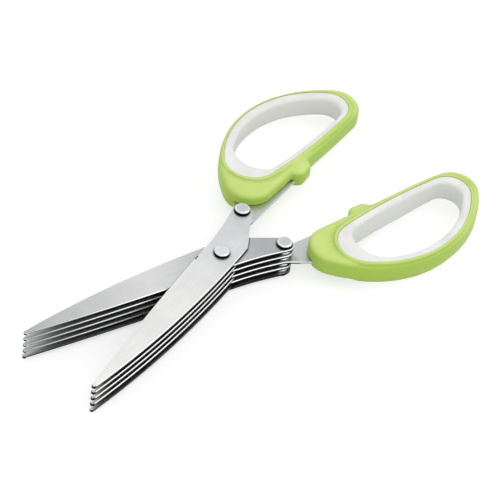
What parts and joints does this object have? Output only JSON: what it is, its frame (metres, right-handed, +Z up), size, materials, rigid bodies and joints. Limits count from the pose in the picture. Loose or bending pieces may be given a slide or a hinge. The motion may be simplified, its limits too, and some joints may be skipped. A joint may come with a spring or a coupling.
{
  "type": "herb scissors",
  "caption": "Multi-blade kitchen scissors that snip herbs into strips: stacked steel blade pairs on a pivot rivet, with moulded loop handles and soft liners.",
  "frame": {"origin": "on the pivot axis, at the lower face of the pivot rivet's lower head, which is also the face the scissors rest on", "axes": "+X from the pivot to the handles along the middle line between the two halves, +Z up along the pivot axis towards half a's side, +Y towards half a's handle"},
  "size_m": [0.1892, 0.104, 0.0169],
  "materials": {
    "blade_steel": "satin, fine grain along the blade",
    "rivet_steel": "smooth, pressed heads with rounded rims",
    "spacer_steel": "plain turned",
    "handle_plastic": "light green, smooth with a soft sheen",
    "liner_rubber": "off-white, matt"
  },
  "bodies": {
    "half_a": {"blade_a_1": "blade_steel", "blade_a_2": "blade_steel", "blade_a_3": "blade_steel", "blade_a_4": "blade_steel", "blade_a_5": "blade_steel", "handle_a": "handle_plastic", "grip_liner_a": "liner_rubber", "rear_rivet_a": "rivet_steel", "rear_spacer_a_1": "spacer_steel", "rear_spacer_a_2": "spacer_steel", "rear_spacer_a_3": "spacer_steel", "rear_spacer_a_4": "spacer_steel", "pivot_rivet": "rivet_steel", "pivot_spacer_1": "spacer_steel", "pivot_spacer_2": "spacer_steel", "pivot_spacer_3": "spacer_steel", "pivot_spacer_4": "spacer_steel"},
    "half_b": {"blade_b_1": "blade_steel", "blade_b_2": "blade_steel", "blade_b_3": "blade_steel", "blade_b_4": "blade_steel", "blade_b_5": "blade_steel", "handle_b": "handle_plastic", "grip_liner_b": "liner_rubber", "rear_rivet_b": "rivet_steel", "rear_spacer_b_1": "spacer_steel", "rear_spacer_b_2": "spacer_steel", "rear_spacer_b_3": "spacer_steel", "rear_spacer_b_4": "spacer_steel"}
  },
  "joints": [
    {"name": "pivot", "type": "hinge", "parent": "half_a", "child": "half_b", "pos_m": [0, 0, 0.00843], "axis": [0, 0, 1], "range_deg": [-55, 22.7]}
  ]
}
